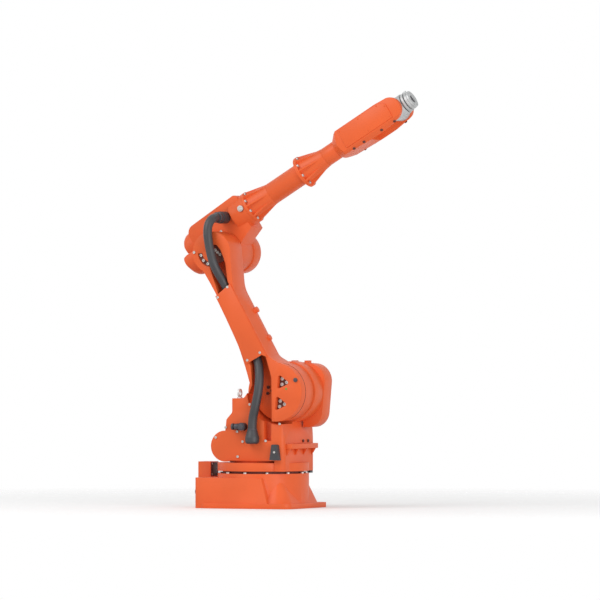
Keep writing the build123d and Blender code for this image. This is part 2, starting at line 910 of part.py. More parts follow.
# Wrist fork: a body that flares from the tube and two plates that hold the wrist between them
with BuildPart() as wrist_fork:
    fork_tip = forearm_length + fork_tip_radius
    with BuildSketch(forearm_plane(fork_half_width)):
        with BuildLine():
            Polyline(
                (front_tube_end, -fork_root_bottom),
                (front_tube_end, fork_top),
                (forearm_length - fork_top_bevel, fork_top),
                (forearm_length, fork_tip_radius),
                (forearm_length, -fork_tip_radius),
                (forearm_length - fork_bottom_bevel, -fork_bottom),
                close=True,
            )
        make_face()
        with Locations((forearm_length, 0)):
            Circle(fork_tip_radius)
    extrude(amount=2 * fork_half_width)
    with BuildSketch(forearm_plane(0)):
        with BuildLine():
            Polyline(
                (front_tube_end, 0),
                (front_tube_end, front_tube_radius + fork_collar),
                (fork_body_start, fork_body_radius),
                (fork_tip, fork_body_radius),
                (fork_tip, 0),
                close=True,
            )
        make_face()
    revolve(axis=forearm_axis, mode=Mode.INTERSECT)
    with BuildSketch(forearm_section(front_tube_end)):
        with BuildLine():
            Polyline(
                (-fork_half_width, fork_top),
                (fork_half_width, fork_top),
                (fork_half_width, fork_bevel - fork_bottom),
                (fork_half_width - fork_bevel, -fork_bottom),
                (fork_bevel - fork_half_width, -fork_bottom),
                (-fork_half_width, fork_bevel - fork_bottom),
                close=True,
            )
        make_face()
    extrude(amount=fork_tip - front_tube_end, mode=Mode.INTERSECT)
    with BuildSketch(forearm_plane(fork_gap_half)):
        with Locations((fork_gap_start, 0)):
            Rectangle(fork_tip - fork_gap_start, 2 * fork_body_radius, align=(Align.MIN, Align.CENTER))
    extrude(amount=2 * fork_gap_half, mode=Mode.SUBTRACT)
wrist_fork.part.label = "wrist_fork"

# Side covers of the wrist fork
for side, start_y in (("near", -fork_half_width), ("far", fork_half_width + side_cover_thickness)):
    with BuildPart() as side_cover:
        with BuildSketch(forearm_plane(start_y)):
            with BuildLine():
                Polyline(
                    (side_cover_start, -side_cover_bottom),
                    (side_cover_start, side_cover_top),
                    (side_cover_end - side_cover_bevel, side_cover_top),
                    (side_cover_end, side_cover_top - side_cover_bevel_drop),
                    (side_cover_end, -side_cover_bottom),
                    close=True,
                )
            make_face()
        extrude(amount=side_cover_thickness)
    side_cover.part.label = f"wrist_{side}_cover"
    export_step(side_cover.part, f"parts/wrist_{side}_cover.step")

# Wrist unit: a hub across the fork and a round nose that steps down over two grooves, with a lug on top
nose_length = tool_reach - flange_thickness - bearing_gap
with BuildPart() as wrist_unit:
    with BuildSketch(forearm_plane(fork_gap_half - wrist_side_gap)):
        with Locations((forearm_length, 0)):
            Circle(wrist_hub_radius)
    extrude(amount=2 * (fork_gap_half - wrist_side_gap))
    for reach, radius, end in (
        (0, wrist_nose_radius, wrist_nose_reach),
        (wrist_nose_reach, wrist_ring_radius - groove_depth, wrist_nose_reach + groove_width),
        (wrist_nose_reach + groove_width, wrist_ring_radius, wrist_ring_reach),
        (wrist_ring_reach, wrist_end_radius - groove_depth, wrist_ring_reach + groove_width),
        (wrist_ring_reach + groove_width, wrist_end_radius, nose_length),
    ):
        with BuildSketch(forearm_section(forearm_length + reach)):
            Circle(radius)
        extrude(amount=end - reach)
    with BuildSketch(forearm_plane(wrist_lug_width / 2)):
        with Locations((forearm_length + wrist_lug_reach, 0)):
            Rectangle(wrist_lug_length, wrist_lug_top, align=(Align.CENTER, Align.MIN))
    extrude(amount=wrist_lug_width)
wrist_unit.part.label = "wrist_unit"

# Tool flange with its centring bore and six tapped holes
with BuildPart() as tool_flange:
    with BuildSketch(forearm_section(forearm_length + tool_reach - flange_thickness)):
        Circle(flange_radius)
    extrude(amount=flange_thickness)
    with Locations(forearm_section(forearm_length + tool_reach)):
        Hole(flange_bore_radius, depth=flange_bore_depth)
        with PolarLocations(flange_pitch_radius, flange_hole_count):
            Hole(flange_hole_radius)
tool_flange.part.label = "tool_flange"


def make_hose(label, points):
    """Hose along straight runs joined by tangent arcs, each as large as its runs allow."""
    radii = []
    corners = [Vector(*point) for point in points]
    for before, corner, after in zip(corners, corners[1:], corners[2:]):
        turn = radians((corner - before).get_angle(after - corner))
        shorter = min((corner - before).length, (after - corner).length)
        radii.append(hose_bend_share * shorter / tan(turn / 2))
    with BuildPart() as hose:
        with BuildLine() as route:
            FilletPolyline(*points, radius=radii)
        with BuildSketch(Plane(origin=route.line @ 0, z_dir=route.line % 0)):
            Circle(hose_radius)
        sweep()
    hose.part.label = label
    length = route.wire().length
    print(label, "radii", [round(radius) for radius in radii], "length", round(length))
    print(label, "volume over section times length", hose.part.volume / (pi * hose_radius**2 * length))
    return hose


# Runs of the hoses, from the boot into the trough and from the trough over the elbow
hose_meeting = along_arm(trough_hose_line, lower_arm_length / 2, trough_hose_y)
lower_hose = make_hose(
    "lower_hose",
    (
        (boot_x, boot_y, boot_top),
        (boot_x, boot_y, boot_top + boot_run),
        along_arm(hub_hose_across, hub_hose_along, hub_hose_y),
        along_arm(mouth_hose_across, mouth_hose_along, mouth_hose_y),
        along_arm(trough_hose_line, trough_hose_start, trough_hose_y),
        hose_meeting,
    ),
)
upper_hose = make_hose(
    "upper_hose",
    (
        hose_meeting,
        along_arm(trough_hose_line, lower_arm_length - exit_hose_drop, trough_hose_y),
        along_arm(outer_hose_across, lower_arm_length - outer_hose_drop, outer_hose_y),
        along_arm(over_hose_across, lower_arm_length + over_hose_rise, outer_hose_y - over_hose_out),
        along_forearm(turn_hose_reach, -turn_hose_drop, outer_hose_y - over_hose_out),
        along_forearm(fitting_reach, fitting_rise, fitting_end_y - fitting_run),
        along_forearm(fitting_reach, fitting_rise, fitting_end_y),
    ),
)

for piece in (
    base_casting,
    connector_box,
    slew_ring,
    turret_casting,
    front_shelf,
    shoulder_housing,
    shoulder_end_cover,
    shoulder_reducer,
    lifting_eye,
    lower_hose_boot,
    buffer_block,
    motor_connector,
    swing_stop,
    lower_arm_casting,
    lower_arm_cover,
    elbow_casting,
    oil_plug,
    elbow_reducer,
    elbow_motor_housing,
    elbow_motor_cap,
    upper_rear_motor,
    lower_rear_motor,
    upper_hose_fitting,
    forearm_cone,
    forearm_tube,
    extension_cone,
    extension_tube,
    wrist_fork,
    wrist_unit,
    tool_flange,
    lower_hose,
    upper_hose,
):
    export_step(piece.part, f"parts/{piece.part.label}.step")
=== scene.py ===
import json
import math

import bmesh
import bpy
from bpy.props import FloatProperty, FloatVectorProperty, PointerProperty
from bpy.types import Operator, Panel, PropertyGroup
from mathutils import Matrix, Vector

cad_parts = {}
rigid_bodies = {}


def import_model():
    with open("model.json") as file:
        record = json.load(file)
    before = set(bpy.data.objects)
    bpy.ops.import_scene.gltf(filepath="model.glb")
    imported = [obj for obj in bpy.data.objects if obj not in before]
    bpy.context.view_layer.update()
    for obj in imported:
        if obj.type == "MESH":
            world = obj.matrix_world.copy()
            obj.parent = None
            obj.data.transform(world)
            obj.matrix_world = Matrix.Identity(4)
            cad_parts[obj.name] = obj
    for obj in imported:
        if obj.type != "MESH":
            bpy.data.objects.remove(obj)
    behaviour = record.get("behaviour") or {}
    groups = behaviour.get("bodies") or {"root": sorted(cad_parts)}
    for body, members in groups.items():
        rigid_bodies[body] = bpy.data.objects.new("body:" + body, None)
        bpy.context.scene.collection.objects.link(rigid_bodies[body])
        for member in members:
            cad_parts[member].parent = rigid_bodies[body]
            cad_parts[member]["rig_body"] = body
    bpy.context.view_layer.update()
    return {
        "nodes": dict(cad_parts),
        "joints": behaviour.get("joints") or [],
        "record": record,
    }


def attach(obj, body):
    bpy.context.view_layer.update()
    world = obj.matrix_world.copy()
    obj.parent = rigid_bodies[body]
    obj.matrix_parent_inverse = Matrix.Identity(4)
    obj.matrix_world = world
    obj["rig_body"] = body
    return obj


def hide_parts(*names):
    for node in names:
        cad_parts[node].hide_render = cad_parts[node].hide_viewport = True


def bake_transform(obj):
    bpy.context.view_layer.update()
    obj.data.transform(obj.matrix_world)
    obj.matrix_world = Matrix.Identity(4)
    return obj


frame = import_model()

bl_info = {
    "name": "Factory robot arm",
    "version": (1, 0, 0),
    "blender": (4, 5, 0),
    "location": "View3D > Sidebar > Robot arm",
    "description": "Dresses the six-axis robot arm with its paint, hoses, screws and fittings",
    "category": "Object",
}

MM = 0.001
joints = {joint["name"]: joint for joint in frame["joints"]}
materials = {}

up = Vector((0, 0, 1))
front, rear = Vector((1, 0, 0)), Vector((-1, 0, 0))
near_side, far_side = Vector((0, -1, 0)), Vector((0, 1, 0))

# Frames of the lower arm and the forearm, from the joints. The forearm's foot lies on its axis above the elbow
shoulder = Vector(joints["shoulder_swing"]["pos_m"])
elbow = Vector(joints["elbow_swing"]["pos_m"])
arm_up = (elbow - shoulder).normalized()
arm_front = Vector((arm_up.z, 0, -arm_up.x))
elbow_along = (elbow - shoulder).length / MM
forearm_dir = Vector(joints["forearm_roll"]["axis"])
forearm_up = Vector((-forearm_dir.z, 0, forearm_dir.x))
wrist_point = Vector(joints["wrist_bend"]["pos_m"])
forearm_length = 1.302
forearm_foot = wrist_point - forearm_dir * forearm_length

# Both rear motors: the middle of the end face by on_forearm, and the radius, in millimetres
upper_motor, upper_motor_radius = (-202.0, 4.0, 32.0), 82.0
lower_motor, lower_motor_radius = (-240.0, -67.0, 32.0), 90.0

# Rear corner of the elbow casting by on_forearm, and its rounding, in millimetres
elbow_corner, elbow_rounding = (-140.0, 92.0), 45.0

# Openings of the elbow hub by on_elbow_hub, in millimetres: a curved window, round the axis at an angle in
# degrees, and the hose channel with its mouth, each with the y of its floor
window_turn, window_step, window_radii, window_floor = 195.0, 9.5, (56.0, 84.0), -212.0
channel = ((-12, -205), (13, -205), (50, -96), (54, -62), (-12, -62))
channel_floor = -142.0
mouth = ((-14, -70), (54, -70), (57, -12), (47, 24), (24, 36), (-2, 26), (-14, 0))
mouth_floor = -196.0

# Faces that fittings sit on, as their y in millimetres
turret_face, buffer_face = -206.5, -231.5
cover_face, hub_face, gear_face, trough_gear_face = -231.5, -226.5, -192.5, -140.5
elbow_face, oil_plug_face = -57.5, -99.8
fork_face, wrist_cover_face = 76.6, 96.8

# Ends of the hoses: the boot on the turret by its x and y, and the fitting on the elbow by on_forearm
boot = (42, -236)
fitting = (108, 23)

# Distance at which a node's loose triangles join, and the angles up to which faces count as one flat face
# and from which an edge of a casting is rounded off
merge_distance = 0.00002
flat_angle = math.radians(0.6)
sharp_angle = math.radians(28.0)


def at(x, y, z):
    """Point given in millimetres."""
    return Vector((x * MM, y * MM, z * MM))


def on_arm(across, along, y):
    """Point beside the lower arm: across it, along it from the shoulder, and its y, in millimetres."""
    place = shoulder + arm_front * across * MM + arm_up * along * MM
    place.y = y * MM
    return place


def on_elbow_hub(across, along, y):
    """Point on the lower arm's elbow hub: like on_arm, but along it from the elbow."""
    return on_arm(across, elbow_along + along, y)


def on_forearm(along, rise, y=0.0):
    """Point by the forearm: along its axis, above it, and its y, in millimetres."""
    place = forearm_foot + forearm_dir * along * MM + forearm_up * rise * MM
    place.y = y * MM
    return place


def round_axis(reach, degrees):
    """How far across and along a place on a circle lies from its middle."""
    turn = math.radians(degrees)
    return reach * math.cos(turn), reach * math.sin(turn)


# Shader maths


class Value:
    """A value inside a node tree. Operators on it add the Math nodes that work it out."""

    def __init__(self, nodes, socket):
        self.nodes = nodes
        self.socket = socket

    def __add__(self, other):
        return self.nodes.maths("ADD", self, other)

    __radd__ = __add__

    def __mul__(self, other):
        return self.nodes.maths("MULTIPLY", self, other)

    __rmul__ = __mul__

    def clamped(self, low, high, new_low=0.0, new_high=1.0):
        """The value stretched from one range to another and kept inside it."""
        inputs = {0: self, 1: low, 2: high, 3: new_low, 4: new_high}
        return self.nodes.node("ShaderNodeMapRange", {"clamp": True}, inputs)


class Nodes:
    """A node tree while it is put together."""

    def __init__(self, tree):
        self.tree = tree

    def node(self, kind, settings, inputs, output=0):
        """One node: its settings are made first, then the values or links of its inputs."""
        made = self.tree.nodes.new(kind)
        for label, value in settings.items():
            setattr(made, label, value)
        for label, value in inputs.items():
            self.feed(made.inputs[label], value)
        return Value(self, made.outputs[output])

    def feed(self, socket, value):
        """Sets a socket, or links it where the value is worked out by nodes."""
        if isinstance(value, Value):
            self.tree.links.new(value.socket, socket)
        else:
            socket.default_value = value

    def maths(self, operation, first, second):
        return self.node("ShaderNodeMath", {"operation": operation}, {0: first, 1: second})

    def ray(self, kind):
        """1 for rays of one kind, such as Is Camera Ray, and 0 for the others."""
        return self.node("ShaderNodeLightPath", {}, {}, kind)


class Finish(Nodes):
    """A procedural material while it is put together."""

    def __init__(self, name, **shader_inputs):
        self.material = bpy.data.materials.new(name)
        self.material.use_nodes = True
        super().__init__(self.material.node_tree)
        self.shader = self.tree.nodes["Principled BSDF"]
        for label, value in shader_inputs.items():
            self.shader.inputs[label.replace("_", " ")].default_value = value
        self.place = self.node("ShaderNodeTexCoord", {}, {}, "Object")

    def noise(self, scale, detail=2.0, roughness=0.5):
        """Noise over the surface, at a number of cells in a metre."""
        inputs = {"Vector": self.place, "Scale": scale, "Detail": detail, "Roughness": roughness}
        return self.node("ShaderNodeTexNoise", {}, inputs)

    def mix(self, share, first, second):
        """A colour between two colours."""
        inputs = {"Factor": share, 6: first, 7: second}
        return self.node("ShaderNodeMix", {"data_type": "RGBA"}, inputs, 2)

    def colour(self, value):
        self.feed(self.shader.inputs["Base Color"], value)

    def rough(self, value):
        self.feed(self.shader.inputs["Roughness"], value)

    def bump(self, height, distance, strength):
        """Relief from a height, its depth in metres."""
        inputs = {"Height": height, "Distance": distance, "Strength": strength}
        self.feed(self.shader.inputs["Normal"], self.node("ShaderNodeBump", {}, inputs, "Normal"))


def shade(colour, share):
    """A colour made darker or lighter by a share."""
    return (*(channel * share for channel in colour[:3]), 1.0)


# Sizes and colours that a user would change


class ArmLooks(PropertyGroup):
    paint: FloatVectorProperty(
        name="Paint", description="Colour of the painted castings", subtype="COLOR", size=4,
        default=(0.80, 0.125, 0.030, 1.0), min=0, max=1,
    )
    rubber: FloatVectorProperty(
        name="Rubber", description="Colour of the hoses and rubber parts", subtype="COLOR", size=4,
        default=(0.040, 0.040, 0.044, 1.0), min=0, max=1,
    )
    steel: FloatVectorProperty(
        name="Steel", description="Colour of screws and bare steel", subtype="COLOR", size=4,
        default=(0.62, 0.60, 0.57, 1.0), min=0, max=1,
    )
    wrist: FloatVectorProperty(
        name="Wrist metal", description="Colour of the wrist's bare metal", subtype="COLOR", size=4,
        default=(0.54, 0.55, 0.55, 1.0), min=0, max=1,
    )
    hose_width: FloatProperty(
        name="Hose width", description="Outer diameter of the hoses", default=0.050, min=0.02, max=0.08,
        unit="LENGTH",
    )
    edge: FloatProperty(
        name="Casting edge", description="Rounding on the edges of the castings", default=0.005, min=0.0,
        max=0.02, unit="LENGTH",
    )


class ArmStage(PropertyGroup):
    view_turn: FloatProperty(
        name="View turn", description="Angle of the view round the arm", default=math.radians(25.0),
        subtype="ANGLE",
    )
    view_distance: FloatProperty(
        name="View distance", description="How far the camera stands away", default=40.0, unit="LENGTH"
    )
    view_height: FloatProperty(
        name="View height", description="Height of the middle of the picture", default=1.1724, unit="LENGTH"
    )
    view_side: FloatProperty(
        name="View side", description="How far the middle of the picture lies beside the turning axis",
        default=0.2068, unit="LENGTH",
    )
    view_width: FloatProperty(
        name="View width", description="Width of what the picture shows", default=3.39, unit="LENGTH"
    )
    floor_size: FloatProperty(
        name="Floor size", description="Width of the floor, which fades away to its rim", default=9.0,
        unit="LENGTH",
    )
    lamp_power: FloatProperty(name="Lamp power", description="Power of the main lamp in watts", default=196.0)
    fill_power: FloatProperty(name="Fill power", description="Power of the fill lamp in watts", default=140.0)
    sky: FloatProperty(name="Sky", description="Strength of the light from all round", default=0.60)


def looks():
    return bpy.context.scene.arm_looks


# Finishes


def make_paint():
    """Semi-gloss paint on a casting: slightly uneven colour, fine orange peel and the casting's soft waves."""
    finish = Finish("orange_paint", IOR=1.38)
    paint = tuple(looks().paint)
    cloud = finish.noise(3.1, 4.0).clamped(0.35, 0.65)
    speck = finish.noise(95.0, 3.0, 0.6).clamped(0.55, 0.75)
    even = finish.mix(cloud, shade(paint, 0.94), shade(paint, 1.05))
    finish.colour(finish.mix(speck * 0.10, even, shade(paint, 0.72)))
    finish.rough(0.38 + 0.10 * finish.noise(14.0, 3.0))
    peel = finish.noise(420.0)
    waves = finish.noise(18.0, 1.0)
    finish.bump(waves * 0.7 + peel * 0.3, 0.0006, 0.22)
    return finish.material


def make_rubber():
    """Dark hose rubber with a fine grain and a dull dusty cast."""
    finish = Finish("dark_rubber")
    rubber = tuple(looks().rubber)
    dust = finish.noise(9.0, 5.0, 0.65).clamped(0.4, 0.75)
    finish.colour(finish.mix(dust, rubber, shade(rubber, 1.35)))
    finish.rough(0.42 + 0.16 * dust)
    finish.bump(finish.noise(900.0) * 0.5 + finish.noise(70.0, 3.0) * 0.5, 0.0006, 0.4)
    return finish.material


def make_metal(name, colour, metallic, roughness):
    """Machined or plated metal with faint turning marks and a patchy oil film."""
    finish = Finish(name, Metallic=metallic)
    film = finish.noise(30.0, 4.0).clamped(0.35, 0.7)
    finish.colour(finish.mix(film, shade(colour, 0.86), shade(colour, 1.08)))
    finish.rough(roughness + 0.16 * finish.noise(260.0))
    finish.bump(finish.noise(1300.0), 0.0002, 0.4)
    return finish.material


def make_plastic(name, dark, light):
    """Moulded plastic with a fine spark-eroded grain."""
    finish = Finish(name)
    finish.colour(finish.mix(finish.noise(25.0, 3.0), dark, light))
    finish.rough(0.45 + 0.12 * finish.noise(200.0))
    finish.bump(finish.noise(1500.0), 0.0002, 0.5)
    return finish.material


def dress(piece, finish):
    """Gives a piece one material and the record's slot of the same name."""
    piece.data.materials.clear()
    piece.data.materials.append(materials[finish])


# Objects and shapes


def add_object(name, data):
    """An object at the origin, in the scene."""
    made = bpy.data.objects.new(name, data)
    bpy.context.scene.collection.objects.link(made)
    return made


def mesh_from(name, shape):
    """A mesh from a bmesh, which is freed."""
    mesh = bpy.data.meshes.new(name)
    shape.to_mesh(mesh)
    shape.free()
    return mesh


def shown_mesh(source):
    """The mesh that an object shows, with its curve or modifiers worked out."""
    bpy.context.view_layer.update()
    return bpy.data.meshes.new_from_object(source.evaluated_get(bpy.context.evaluated_depsgraph_get()))


def new_piece(name, shape, body, finish, smooth_angle=35.0):
    """An object from a bmesh, smooth where its faces meet gently, riding on a body."""
    bmesh.ops.recalc_face_normals(shape, faces=shape.faces[:])
    limit = math.radians(smooth_angle)
    for face in shape.faces:
        face.smooth = True
    for edge in shape.edges:
        edge.smooth = len(edge.link_faces) == 2 and edge.calc_face_angle(0.0) < limit
    piece = add_object(name, mesh_from(name, shape))
    dress(piece, finish)
    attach(piece, body)
    return piece


def round_off(shape, parts, offset, segments=2, affect="EDGES", clamp_overlap=False):
    """Rounds edges off, or the corners of a flat outline."""
    bmesh.ops.bevel(
        shape, geom=parts, offset=offset, offset_type="OFFSET", segments=segments, profile=0.5, affect=affect,
        clamp_overlap=clamp_overlap, material=-1,
    )


def facing(place, axis, spin=0.0):
    """Matrix that stands a shape at a place with its z along an axis."""
    turn = Vector(axis).normalized().to_track_quat("Z", "Y").to_matrix().to_4x4()
    return Matrix.Translation(place) @ turn @ Matrix.Rotation(spin, 4, "Z")


def drum_shape(radius, height, sides, rounding=0.0, segments=2):
    """A round drum that stands on z = 0, its top rim rounded off."""
    drum = bmesh.new()
    bmesh.ops.create_cone(
        drum, cap_ends=True, segments=sides, radius1=radius, radius2=radius, depth=height,
        matrix=Matrix.Translation((0, 0, height / 2)),
    )
    if rounding:
        rim = [edge for edge in drum.edges if all(vert.co.z > height * 0.99 for vert in edge.verts)]
        round_off(drum, rim, rounding, segments)
    return drum


def add_drum(shape, place, axis, radius, height, sides=24, rounding=0.0):
    """Adds a drum that stands at a place along an axis, its sizes in millimetres."""
    drum = drum_shape(radius * MM, height * MM, sides, rounding * MM)
    drum.transform(facing(place, axis))
    mesh = mesh_from("drum", drum)
    shape.from_mesh(mesh)
    bpy.data.meshes.remove(mesh)


def add_screws(name, body, places, radius, height, finish="bare_steel", socket=0.5):
    """Socket screws' heads at places and axes, as one piece, their sizes in millimetres.

    Each has a chamfered rim and a round recess whose width is a share of the head's.
    """
    radius, height = radius * MM, height * MM
    chamfer, rim, recess, turn_apart = 0.14, 0.86, 0.5, 0.7
    head = drum_shape(radius, height, 18, radius * chamfer, 1)
    top = max(head.faces, key=lambda face: face.calc_center_median().z)
    bmesh.ops.inset_individual(head, faces=[top], thickness=radius * (rim - socket))
    floor = bmesh.ops.extrude_discrete_faces(head, faces=[top])["faces"]
    bmesh.ops.translate(head, verts=floor[0].verts[:], vec=(0, 0, -height * recess))
    mesh = mesh_from("screw", head)
    shape = bmesh.new()
    for index, (place, axis) in enumerate(places):
        before = len(shape.verts)
        shape.from_mesh(mesh)
        shape.verts.ensure_lookup_table()
        bmesh.ops.transform(shape, matrix=facing(place, axis, index * turn_apart), verts=shape.verts[before:])
    bpy.data.meshes.remove(mesh)
    new_piece(name, shape, body, finish)


def ring_places(centre, axis, across, radius, count, start=0.0):
    """Places on a circle round a centre, each with the axis, at even turns from a direction across it."""
    third = axis.cross(across)
    places = []
    for step in range(count):
        first, second = round_axis(radius * MM, start + 360.0 * step / count)
        places.append((centre + across * first + third * second, axis))
    return places


def spin_profile(shape, profile, centre, degrees, steps):
    """Spins a line of two points, or a face of more, round an axis that points to the near side."""
    verts = [shape.verts.new(point) for point in profile]
    face = [shape.faces.new(verts)] if len(verts) > 2 else []
    edges = face[0].edges[:] if face else [shape.edges.new(verts)]
    bmesh.ops.spin(
        shape, geom=[*face, *edges, *verts], cent=centre, axis=near_side, angle=math.radians(degrees),
        steps=steps, use_merge=False,
    )


def cut_out(shape, cutter):
    """Cuts a closed shape out of another."""
    holders = []
    for name, part in (("solid", shape), ("tool", cutter)):
        bmesh.ops.recalc_face_normals(part, faces=part.faces[:])
        holders.append(add_object(name, mesh_from(name, part.copy())))
    solid, tool = holders
    cut = solid.modifiers.new("opening", "BOOLEAN")
    cut.object = tool
    cut.operation = "DIFFERENCE"
    cut.solver = "EXACT"
    carved = shown_mesh(solid)
    shape.clear()
    shape.from_mesh(carved)
    cutter.free()
    for holder in holders:
        mesh = holder.data
        bpy.data.objects.remove(holder)
        bpy.data.meshes.remove(mesh)
    bpy.data.meshes.remove(carved)


def rounded_prism(outline, depth, rounding):
    """A closed shape from an outline of points, its corners rounded, pulled out to the near side."""
    prism = bmesh.new()
    face = prism.faces.new([prism.verts.new(point) for point in outline])
    round_off(prism, face.verts[:], rounding * MM, 5, "VERTICES")
    pulled = bmesh.ops.extrude_face_region(prism, geom=prism.faces[:])["geom"]
    moved = [item for item in pulled if isinstance(item, bmesh.types.BMVert)]
    bmesh.ops.translate(prism, verts=moved, vec=near_side * depth * MM)
    return prism


def merged_copy(node):
    """A copy of a node's shape with its loose triangles joined."""
    shape = bmesh.new()
    shape.from_mesh(frame["nodes"][node].data)
    bmesh.ops.remove_doubles(shape, verts=shape.verts[:], dist=merge_distance)
    return shape


def stand_for(node, shape, finish):
    """Makes a shape the piece that stands for a node."""
    piece = new_piece(f"{node}_finished", shape, frame["nodes"][node]["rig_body"], finish, 40.0)
    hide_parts(node)


def soften(node, finish="orange_paint", edge=None, segments=2, openings=(), corner=None):
    """A copy of a casting with its edges rounded off and its openings cut, which stands for the node."""
    shape = merged_copy(node)
    bmesh.ops.dissolve_degenerate(shape, edges=shape.edges[:], dist=merge_distance)
    for opening in openings:
        cut_out(shape, opening)
    bmesh.ops.dissolve_limit(
        shape, angle_limit=flat_angle, verts=shape.verts[:], edges=shape.edges[:], delimit={"NORMAL"}
    )
    if corner:
        ends = [
            side for side in shape.edges if all((vert.co.xz - corner.xz).length < 3 * MM for vert in side.verts)
        ]
        round_off(shape, ends, elbow_rounding * MM, 8)
    sharp = [
        side for side in shape.edges if len(side.link_faces) == 2 and side.calc_face_angle(0.0) > sharp_angle
    ]
    offset = looks().edge if edge is None else edge * MM
    if offset and sharp:
        round_off(shape, sharp, offset, segments, clamp_overlap=True)
    bmesh.ops.triangulate(shape, faces=[face for face in shape.faces if len(face.verts) > 4])
    stand_for(node, shape, finish)


def round_motor(node, middle, radius, outer_side, split_share):
    """A copy of a rear motor with the edge of its end rounded over, which stands for the node.

    The outer half draws in by one length, and the half by the other motor by a share of its reach.
    """
    depth, draw_in, levels = 0.040, 0.036, 9
    shape = merged_copy(node)
    for cut in range(1, levels + 1):
        bmesh.ops.bisect_plane(
            shape, geom=[*shape.verts, *shape.edges, *shape.faces],
            plane_co=middle + forearm_dir * depth * cut / levels, plane_no=forearm_dir,
        )
    for vert in shape.verts:
        level = max((vert.co - middle).dot(forearm_dir), 0.0) / depth
        rise = (vert.co - middle).dot(forearm_up)
        if level < 1.0:
            arc = math.sqrt(1.0 - (1.0 - level) ** 2)
            share = draw_in / (radius * MM) if rise * outer_side > 0 else split_share
            vert.co -= forearm_up * rise * (1.0 - arc) * share
    stand_for(node, shape, "orange_paint")


class ArmOperator(Operator):
    """A step that dresses part of the arm"""

    bl_options = {"REGISTER", "UNDO"}


class ARM_OT_finishes(ArmOperator):
    """Make the materials and give each part of the frame its own"""

    bl_idname = "arm.finishes"
    bl_label = "Finishes"

    def execute(self, context):
        materials["orange_paint"] = make_paint()
        materials["dark_rubber"] = make_rubber()
        for name, colour, metallic, roughness in (
            ("bare_steel", tuple(looks().steel), 0.6, 0.3),
            ("wrist_metal", tuple(looks().wrist), 0.35, 0.40),
            ("zinc_plate", (0.74, 0.75, 0.74, 1.0), 0.25, 0.42),
            ("dark_steel", (0.16, 0.055, 0.042, 1.0), 0.4, 0.5),
        ):
            materials[name] = make_metal(name, colour, metallic, roughness)
        for name, dark, light in (
            ("black_plastic", (0.045, 0.040, 0.048, 1), (0.075, 0.068, 0.080, 1)),
            ("green_plastic", (0.10, 0.26, 0.04, 1), (0.16, 0.36, 0.06, 1)),
        ):
            materials[name] = make_plastic(name, dark, light)
        slots = {row["node"]: row["material_slot"] for row in frame["record"]["subparts"]}
        slots["lifting_eye"] = "zinc_plate"
        for name, node in frame["nodes"].items():
            dress(node, slots[name])
        return {"FINISHED"}


class ARM_OT_castings(ArmOperator):
    """Round the edges of the castings, and open the elbow hub's window and hose channel"""

    bl_idname = "arm.castings"
    bl_label = "Castings"

    def execute(self, context):
        for node in (
            "base_casting", "connector_box", "turret_casting", "front_shelf", "shoulder_housing",
            "shoulder_end_cover", "elbow_motor_housing", "elbow_motor_cap", "wrist_fork",
        ):
            soften(node)
        soften("elbow_casting", edge=12.0, segments=4, corner=on_forearm(*elbow_corner))
        round_motor("upper_rear_motor", on_forearm(*upper_motor), upper_motor_radius, 1, 0.10)
        round_motor("lower_rear_motor", on_forearm(*lower_motor), lower_motor_radius, -1, 0.38)
        turns = [window_turn + step * window_step for step in range(-4, 5)]
        inner, outer = [
            [on_elbow_hub(*round_axis(reach, turn), window_floor) for turn in turns] for reach in window_radii
        ]
        openings = [rounded_prism(inner + outer[::-1], 50.0, 3.5)]
        for outline, floor in ((channel, channel_floor), (mouth, mouth_floor)):
            points = [on_elbow_hub(across, along, floor) for across, along in outline]
            openings.append(rounded_prism(points, 100.0, 4.0))
        soften("lower_arm_casting", openings=openings)
        for node in ("forearm_cone", "forearm_tube", "extension_cone", "extension_tube"):
            soften(node, edge=1.5)
        for node in ("lower_arm_cover", "wrist_near_cover", "wrist_far_cover"):
            soften(node, edge=1.2)
        for node in ("wrist_unit", "tool_flange"):
            soften(node, "wrist_metal", 1.5)
        return {"FINISHED"}


# Routes of the hoses, the same points as the frame's
lower_route = (
    at(*boot, 440), at(*boot, 500), on_arm(-134, -17, -242), on_arm(-55, 90, -232),
    on_arm(-20, 240, -180), on_arm(-20, 440, -180),
)
upper_route = (
    on_arm(-20, 440, -180), on_arm(-20, 665, -180), on_arm(-8, 790, -256), on_arm(14, 890, -264),
    on_forearm(62, -22, -266), on_forearm(*fitting, -232), on_forearm(*fitting, -160),
)


def hose_piece(name, points, node):
    """A tube round a smooth line through the route's points, which stands for a node."""
    curve = bpy.data.curves.new(name, "CURVE")
    curve.dimensions = "3D"
    spline = curve.splines.new("NURBS")
    spline.points.add(len(points) - 1)
    for point, place in zip(spline.points, points):
        point.co = (*place, 1.0)
    spline.order_u = 3
    spline.use_endpoint_u = True
    spline.resolution_u = 10
    curve.bevel_depth = looks().hose_width / 2
    curve.bevel_resolution = 6
    curve.use_fill_caps = True
    line = add_object(name, curve)
    mesh = shown_mesh(line)
    bpy.data.objects.remove(line)
    piece = add_object(name, mesh)
    mesh.name = name
    for face in mesh.polygons:
        face.use_smooth = True
    dress(piece, "dark_rubber")
    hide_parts(node)
    return piece


class ARM_OT_hoses(ArmOperator):
    """Lead the two hoses past the shoulder and the elbow"""

    bl_idname = "arm.hoses"
    bl_label = "Hoses"

    def execute(self, context):
        lower = hose_piece("shoulder_hose", lower_route, "lower_hose")
        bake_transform(lower)
        upper = hose_piece("elbow_hose", upper_route, "upper_hose")
        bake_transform(upper)
        return {"FINISHED"}


